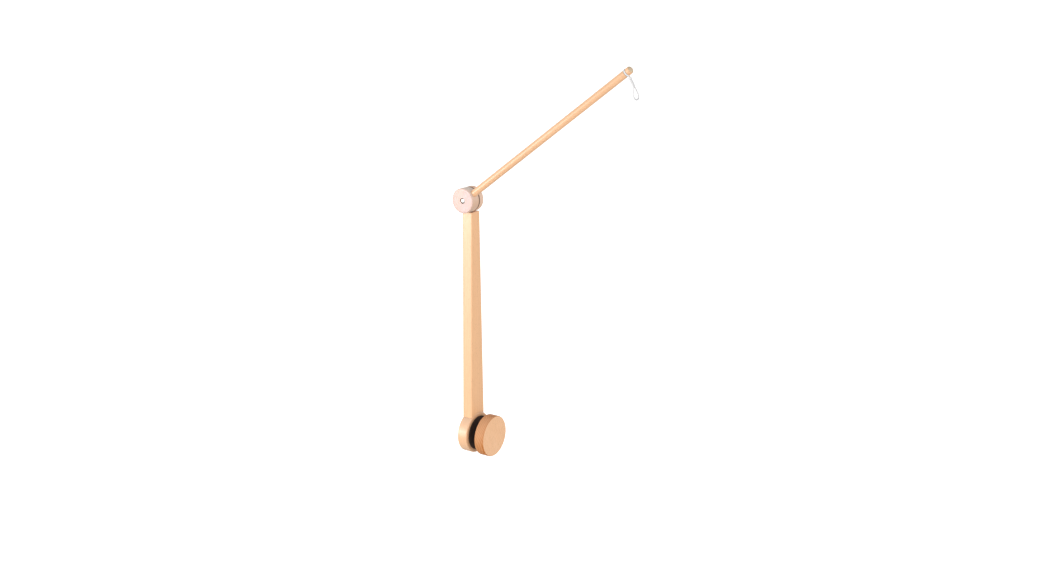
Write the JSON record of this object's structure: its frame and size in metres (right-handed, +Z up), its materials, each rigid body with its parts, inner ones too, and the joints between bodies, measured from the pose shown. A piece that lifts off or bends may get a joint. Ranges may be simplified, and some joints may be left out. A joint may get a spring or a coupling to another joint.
{
  "type": "crib mobile arm",
  "caption": "Wooden arm that clamps to a crib's slats and holds a hanging toy over it from a tilting rod with a cord loop.",
  "frame": {"origin": "centre of the clamp's outer pad, on the face that meets the crib's slats", "axes": "+X in over the crib along the clamp's screw, +Y along the crib's side, +Z up along the post"},
  "size_m": [0.2824, 0.06, 0.5714],
  "materials": {
    "beech": "satin lacquer",
    "dowel_wood": "raw",
    "rubber": "matt",
    "steel": "zinc plated",
    "fibre": "matt",
    "cotton": "matt"
  },
  "bodies": {
    "upright": {"post": "beech", "foot_disc": "beech", "foot_dowel_front": "dowel_wood", "foot_dowel_rear": "dowel_wood", "foot_pad": "rubber", "tee_nut": "steel", "head_disc": "beech", "head_dowel": "dowel_wood", "friction_washer": "fibre"},
    "arm": {"arm_disc": "beech", "arm_rod": "beech", "pivot_bolt": "steel", "pivot_washer": "steel", "spring_washer": "steel", "pivot_nut": "steel", "cord_wrap": "cotton", "cord_knot": "cotton"},
    "loop": {"cord_loop": "cotton"},
    "loose_pad": {"knob_pad": "rubber"},
    "knob": {"clamp_knob": "beech", "knob_insert": "steel", "clamp_stud": "steel"}
  },
  "joints": [
    {"name": "arm_tilt", "type": "hinge", "parent": "upright", "child": "arm", "pos_m": [-0.0095, -0.0123, 0.347], "axis": [0, -1, 0], "range_deg": [-75, 50]},
    {"name": "loop_sway", "type": "hinge", "parent": "arm", "child": "loop", "pos_m": [0.24168, -0.0123, 0.52715], "axis": [0, -1, 0], "range_deg": [-50, 75]},
    {"name": "knob_travel", "type": "slide", "parent": "upright", "child": "loose_pad", "axis": [1, 0, 0], "range_m": [-0.005, 0.016]},
    {"name": "knob_turn", "type": "hinge", "parent": "loose_pad", "child": "knob", "pos_m": [0.02, 0, 0], "axis": [1, 0, 0], "range_deg": [-1440, 4608]}
  ],
  "couplings": [
    {"joint": "loop_sway", "follows": "arm_tilt", "ratio": -1},
    {"joint": "knob_travel", "follows": "knob_turn", "m_per_rad": 0.00019894}
  ]
}
